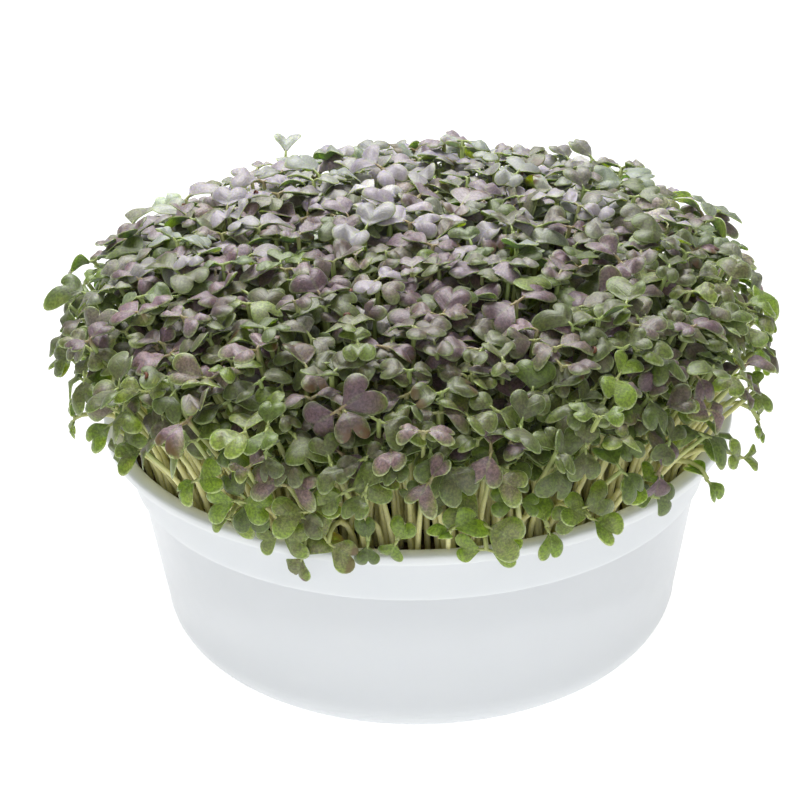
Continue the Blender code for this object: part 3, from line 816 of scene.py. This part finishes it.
class Nodes:
    """Short ways to build a material's nodes."""

    def __init__(self, name):
        self.material = bpy.data.materials.new(name)
        self.material.use_nodes = True
        self.tree = self.material.node_tree
        self.shader = self.tree.nodes["Principled BSDF"]

    def new(self, kind, **settings):
        node = self.tree.nodes.new(kind)
        for key, value in settings.items():
            setattr(node, key, value)
        return node

    def put(self, socket, value):
        if isinstance(value, bpy.types.NodeSocket):
            self.tree.links.new(value, socket)
        elif isinstance(value, tuple) and len(value) == 3 and socket.type == "RGBA":
            socket.default_value = (*value, 1.0)
        else:
            socket.default_value = value

    def maths(self, operation, *values, clamp=False):
        node = self.new("ShaderNodeMath", operation=operation, use_clamp=clamp)
        for socket, value in zip(node.inputs, values):
            self.put(socket, value)
        return node.outputs[0]

    def mix(self, share, a, b):
        node = self.new("ShaderNodeMix", data_type="RGBA")
        self.put(node.inputs[0], share)
        self.put(node.inputs[6], a)
        self.put(node.inputs[7], b)
        return node.outputs[2]

    def ramp(self, value, low, high, out_low=0.0, out_high=1.0):
        node = self.new("ShaderNodeMapRange", interpolation_type="SMOOTHSTEP")
        for socket, given in zip(node.inputs, (value, low, high, out_low, out_high)):
            self.put(socket, given)
        return node.outputs[0]

    def place(self):
        return self.new("ShaderNodeTexCoord").outputs["Object"]

    def noise(self, scale, detail=2.0, roughness=0.5):
        node = self.new("ShaderNodeTexNoise")
        self.put(node.inputs["Vector"], self.place())
        self.put(node.inputs["Scale"], scale)
        self.put(node.inputs["Detail"], detail)
        self.put(node.inputs["Roughness"], roughness)
        return node.outputs["Fac"]

    def parts(self, vector):
        node = self.new("ShaderNodeSeparateXYZ")
        self.put(node.inputs[0], vector)
        return node.outputs

    def attribute(self, name, output="Vector"):
        node = self.new("ShaderNodeAttribute", attribute_type="GEOMETRY", attribute_name=name)
        return node.outputs[output]

    def bump(self, height, strength, distance):
        node = self.new("ShaderNodeBump")
        self.put(node.inputs["Height"], height)
        self.put(node.inputs["Strength"], strength)
        self.put(node.inputs["Distance"], distance)
        self.put(self.shader.inputs["Normal"], node.outputs[0])

    def finish(self, **values):
        for key, value in values.items():
            self.put(self.shader.inputs[key.replace("_", " ")], value)
        return self.material


def leaf_material():
    """Green to purple with fine speckles, a bloom that is partly dust and partly painted sheen, painted light
    that is brighter high up and at the back, veins, a paler rib and margin, withered tips.
    """
    n = Nodes("seed_leaf")
    across, along, under = n.parts(n.attribute("place"))
    purple, light, yellow = n.parts(n.attribute("tone"))
    speckle = n.noise(2300, 3.0, 0.70)
    blotch = n.noise(260, 2.0)
    green = n.mix(yellow, *LEAF_GREENS)
    dusk = n.mix(n.ramp(purple, 0.45, 1.0), *LEAF_DUSKS)
    inner = n.ramp(across, 0.55, 0.98, 1.0, 0.45)
    amount = n.maths("MULTIPLY", n.maths("ADD", n.maths("MULTIPLY", purple, 1.5), -0.05), inner)
    amount = n.maths("ADD", amount, n.maths("MULTIPLY", n.maths("SUBTRACT", speckle, 0.5), 1.5))
    amount = n.maths("ADD", amount, n.maths("MULTIPLY", n.maths("SUBTRACT", blotch, 0.5), 0.9), clamp=True)
    base = n.mix(amount, green, dusk)
    # Bloom: partly real dust, partly painted sheen and highlight, laid on where the painted light is strong
    bloom_and_sheen = n.mix(n.ramp(purple, 0.20, 0.65), *LEAF_BLOOMS_AND_SHEENS)
    base = n.mix(n.ramp(light, 0.27, 0.85, 0.0, 0.88), base, bloom_and_sheen)
    rib = n.maths("MULTIPLY", n.ramp(across, 0.0, 0.16, 1.0, 0.0), 0.30)
    base = n.mix(rib, base, LEAF_RIB)
    base = n.mix(n.maths("MULTIPLY", n.ramp(across, 0.92, 1.0), 0.68), base, LEAF_MARGIN)
    base = n.mix(n.maths("MULTIPLY", under, 0.55), base, LEAF_UNDERSIDE)
    slant = n.maths("SUBTRACT", along, n.maths("MULTIPLY", across, 0.45))
    vein = n.ramp(n.maths("PINGPONG", slant, 0.10), 0.0, 0.022, 1.0, 0.0)
    vein = n.maths("MULTIPLY", vein, n.ramp(across, 0.75, 0.92, 1.0, 0.0))
    darker = n.ramp(light, 0.35, 0.8, 0.68, 0.88)
    lighter = n.ramp(light, 0.35, 0.8, 1.30, 1.12)
    grain = n.ramp(n.noise(1500, 2.0, 0.6), 0.36, 0.64, darker, lighter)
    # Painted light: leaves much brighter high up and at the back, where the lamps fall; the grain is real
    # speckle
    bright = n.maths("MULTIPLY", n.ramp(light, 0.18, 0.85, 0.77, 1.37), grain)
    # Brighter where yellower, low down: partly the paler green of low leaves, partly a painted glow of light
    # through them
    bright = n.maths("MULTIPLY", bright, n.ramp(yellow, 0.3, 0.8, 0.86, 1.55))
    bright = n.maths("MULTIPLY", bright, n.maths("ADD", n.maths("MULTIPLY", vein, 0.16), 1.0))
    scaled = n.new("ShaderNodeVectorMath", operation="SCALE")
    n.put(scaled.inputs[0], base)
    n.put(scaled.inputs["Scale"], bright)
    tip = n.maths("MULTIPLY", n.ramp(along, 0.62, 0.80), n.ramp(n.noise(330, 2.0), 0.34, 0.50))
    worn = n.mix(n.maths("MULTIPLY", n.attribute("age", "Fac"), tip), scaled.outputs[0], LEAF_WITHERED)
    relief = n.maths("SUBTRACT", n.noise(1300, 3.0, 0.6), n.maths("MULTIPLY", vein, 0.5))
    n.bump(relief, 0.35, 0.0002)
    return n.finish(
        Base_Color=worn, Roughness=0.48, Specular_IOR_Level=0.70,
        Sheen_Weight=0.15, Sheen_Roughness=0.38, Sheen_Tint=(0.90, 0.88, 1.0),
        Subsurface_Weight=0.45, Subsurface_Radius=(0.0012, 0.0016, 0.0002), Subsurface_Scale=1.0,
    )


def stem_material():
    """Cream low down and green near the leaves, faintly streaked, pink at the top of purple plants."""
    n = Nodes("stem")
    along = n.parts(n.attribute("place"))[1]
    purple, light, yellow = n.parts(n.attribute("tone"))
    streak = n.noise(900, 2.0, 0.6)
    # The cream low down shifts with the plant's painted light tone, paler where that tone is low
    low = n.mix(light, *STEM_LOWS)
    high = n.mix(yellow, *STEM_HIGHS)
    base = n.mix(n.ramp(along, 0.35, 0.98), low, high)
    pink = n.maths("MULTIPLY", n.ramp(along, 0.90, 1.0), n.ramp(purple, 0.5, 1.0, 0.0, 0.6))
    base = n.mix(pink, base, STEM_PINK)
    base = n.mix(n.maths("MULTIPLY", n.ramp(streak, 0.45, 0.8), 0.35), base, STEM_STREAK)
    n.bump(streak, 0.2, 0.0002)
    return n.finish(
        Base_Color=base, Roughness=0.42, Subsurface_Weight=0.40,
        Subsurface_Radius=(0.0012, 0.0012, 0.0005), Subsurface_Scale=1.0,
    )


def tub_material():
    """Faintly mottled white plastic, with a painted cream glow inside the lip that lightens its shade, where
    light comes through.
    """
    n = Nodes("tub_white")
    base = n.mix(n.noise(60, 3.0, 0.5), *TUB_WHITES)
    x, y, height = n.parts(n.place())
    out = n.maths("SQRT", n.maths("ADD", n.maths("POWER", x, 2.0), n.maths("POWER", y, 2.0)))
    # Painted glow: a cream band inside the lip, lightening the shade there
    inside = n.maths("MULTIPLY", n.ramp(out, 0.0868, 0.0896, 1.0, 0.0), n.ramp(height, 0.0650, 0.0664))
    base = n.mix(n.maths("MULTIPLY", inside, 0.60), base, LIP_PAINTED_GLOW)
    rough = n.ramp(n.noise(240, 2.0), 0.2, 0.8, 0.30, 0.42)
    n.bump(n.noise(700, 2.0), 0.05, 0.0002)
    return n.finish(
        Base_Color=base, Roughness=rough, Subsurface_Weight=0.60,
        Subsurface_Radius=(0.007, 0.007, 0.0065), Subsurface_Scale=1.0,
    )


def medium_material():
    n = Nodes("growing_medium")
    crumbs = n.noise(420, 4.0, 0.7)
    base = n.mix(n.ramp(crumbs, 0.35, 0.7), *MEDIUM_BROWNS)
    base = n.mix(n.ramp(n.noise(1500, 2.0), 0.62, 0.75), base, MEDIUM_FLECK)
    n.bump(crumbs, 0.8, 0.0008)
    return n.finish(Base_Color=base, Roughness=0.95)


def coat_material():
    n = Nodes("seed_coat")
    grain = n.noise(1400, 3.0, 0.6)
    base = n.mix(n.ramp(grain, 0.3, 0.7), *COAT_BROWNS)
    n.bump(grain, 0.5, 0.0002)
    return n.finish(Base_Color=base, Roughness=0.55)


# Pieces

def make_tub(material):
    mesh = turned("tub_fine", tub_profile(), FINE_TUB_SIDES)
    add_piece("tub_fine", mesh, [material], "tub_white", "tub")


def make_medium(material):
    """The growing medium with a crumbly top."""
    side = medium_side()
    edge = side[0][0]
    top = [(edge * k / MEDIUM_RINGS, MEDIUM_TOP) for k in range(MEDIUM_RINGS)]
    mesh = turned("medium_fine", top + side, MEDIUM_SIDES)
    for vertex in mesh.vertices:
        out = math.hypot(vertex.co.x, vertex.co.y)
        if vertex.co.z > MEDIUM_TOP - 0.0001:
            lumps = noise.fractal(vertex.co * CRUMB_SCALE, *CRUMB_FRACTAL)
            broad = noise.noise(vertex.co * DIP_SCALE)
            calm = min(1.0, (edge - out) / CALM_EDGE)
            vertex.co.z += (CRUMB_DEPTH * lumps + DIP_DEPTH * broad) * calm
    add_piece("medium_fine", mesh, [material], "medium_brown", "growing_medium")


def make_seedlings(planted, leaf, stem):
    """Joins the seedlings of each root mat into one piece."""
    centres = np.array([
        out_from_axis(k * GOLDEN_ANGLE) * PATCH_FIELD_RADIUS * math.sqrt((k + 0.5) / PATCHES)
        for k in range(PATCHES)
    ])
    pools = [Pool() for _ in centres]
    for plant in planted:
        nearest = int(np.argmin(np.linalg.norm((centres - plant.root)[:, :2], axis=1)))
        plant.grow(pools[nearest])
    for k, pool in enumerate(pools):
        number = f"{k + 1:02d}"
        mesh = pool.mesh("seedlings_" + number)
        add_piece("seedlings_" + number, mesh, [leaf, stem], SLOTS[k], "sprouts_" + number)
    print("triangles of seedlings:", sum(len(face) - 2 for pool in pools for face in pool.faces))


def seed_coat(size, draw):
    """A split, crumpled seed coat: a thin open shell, closed all round its thickness."""
    bm = bmesh.new()
    bmesh.ops.create_uvsphere(bm, u_segments=14, v_segments=9, radius=1.0)
    opening = [v for v in bm.verts if v.co.z > COAT_OPENING]
    bmesh.ops.delete(bm, geom=opening, context="VERTS")
    lean = draw.uniform(-0.4, 0.4)
    for v in bm.verts:
        v.co *= 1 + COAT_CRUMPLE * noise.noise(v.co * 1.7 + Vector((lean * 9, 0, 0)))
        v.co.x *= COAT_STRETCH
        v.co.z *= COAT_SQUASH
        v.co.y += lean * v.co.z * 0.4
    bmesh.ops.solidify(bm, geom=bm.faces[:], thickness=COAT_THICKNESS)
    bmesh.ops.recalc_face_normals(bm, faces=bm.faces)
    bmesh.ops.scale(bm, vec=(size, size, size), verts=bm.verts)
    return bm


def joined(name, coats):
    """One mesh of several seed coats."""
    whole = bmesh.new()
    for coat in coats:
        mesh = bpy.data.meshes.new("one")
        coat.to_mesh(mesh)
        coat.free()
        whole.from_mesh(mesh)
        bpy.data.meshes.remove(mesh)
    mesh = bpy.data.meshes.new(name)
    whole.to_mesh(mesh)
    whole.free()
    return mesh


def make_fallen_coats(material, draw):
    """Seed coats that lie on the medium."""
    coats = []
    for degrees, distance in FALLEN_COATS:
        coat = seed_coat(FALLEN_COAT, draw)
        height = MEDIUM_TOP + FALLEN_COAT_LIFT
        place = Matrix.Translation(out_from_axis(math.radians(degrees)) * distance + (0, 0, height))
        coat.transform(place @ Matrix.Rotation(math.radians(degrees * 2), 4, "Z"))
        coats.append(coat)
    nodes = [f"seed_coat_{k + 1:02d}" for k in range(len(coats))]
    mesh = joined("seed_coats_fallen", coats)
    add_piece("seed_coats_fallen", mesh, [material], "seed_coat_brown", *nodes)


def make_clinging_coats(material, planted, draw):
    """Seed coats that still cling to a lobe of a leaf."""
    coats = []
    for wanted in CLINGING_COATS:
        plant = min(planted, key=lambda one: np.linalg.norm(one.head - np.array(wanted)))
        along, aside, up = plant.leaves[0][:3]
        tip = plant.leaf(0, np.array(((0.78, 0.30, 1.0),)))[0]
        coat = seed_coat(CLINGING_COAT, draw)
        axes = Matrix(np.stack((aside, up, along), axis=1).tolist()).to_4x4()
        coat.transform(Matrix.Translation(tip - up * 0.0003) @ axes)
        coats.append(coat)
    mesh = joined("seed_coats_clinging", coats)
    add_piece("seed_coats_clinging", mesh, [material], "seed_coat_brown")


# Studio

def make_floor():
    """A plain white floor that glows a little, so that it stays white under the soft light."""
    mesh = bpy.data.meshes.new("floor")
    corners = [(x * FLOOR_SIZE, y * FLOOR_SIZE, 0) for x, y in ((-1, -1), (1, -1), (1, 1), (-1, 1))]
    mesh.from_pydata(corners, [], [(0, 1, 2, 3)])
    material = bpy.data.materials.new("floor")
    material.use_nodes = True
    shader = material.node_tree.nodes["Principled BSDF"]
    shader.inputs["Base Color"].default_value = (FLOOR_GREY, FLOOR_GREY, FLOOR_GREY, 1.0)
    shader.inputs["Roughness"].default_value = 0.9
    shader.inputs["Specular IOR Level"].default_value = 0.0
    shader.inputs["Emission Color"].default_value = (1.0, 1.0, 1.0, 1.0)
    shader.inputs["Emission Strength"].default_value = FLOOR_GLOW
    mesh.materials.append(material)
    floor = bpy.data.objects.new("floor", mesh)
    bpy.context.scene.collection.objects.link(floor)


def make_lights():
    world = bpy.data.worlds.new("studio")
    bpy.context.scene.world = world
    world.use_nodes = True
    background = world.node_tree.nodes["Background"]
    background.inputs["Color"].default_value = (1.0, 1.0, 1.0, 1.0)
    background.inputs["Strength"].default_value = WORLD_STRENGTH
    for name, place, size, power in LIGHTS:
        light = bpy.data.lights.new(name, "AREA")
        light.shape = "DISK"
        light.size = size
        light.energy = power
        lamp = bpy.data.objects.new(name, light)
        lamp.location = place
        lamp.rotation_euler = (Vector(LIGHTS_AIM) - Vector(place)).to_track_quat("-Z", "Y").to_euler()
        bpy.context.scene.collection.objects.link(lamp)
    bpy.context.scene.view_settings.view_transform = "Standard"


def make_camera():
    data = bpy.data.cameras.new("camera")
    data.lens = LENS
    data.sensor_width = SENSOR
    camera = bpy.data.objects.new("camera", data)
    look = (Vector(AIM) - Vector(EYE)).to_track_quat("-Z", "Y").to_matrix()
    turn = look @ Matrix.Rotation(ROLL, 3, "Z")
    camera.matrix_world = Matrix.Translation(EYE) @ turn.to_4x4()
    bpy.context.scene.collection.objects.link(camera)
    bpy.context.scene.camera = camera


draw = random.Random(SEED)
make_camera()
make_floor()
make_lights()
make_tub(tub_material())
make_medium(medium_material())
plants = plant_all(draw)
make_seedlings(plants, leaf_material(), stem_material())
coat_brown = coat_material()
make_fallen_coats(coat_brown, draw)
make_clinging_coats(coat_brown, plants, draw)
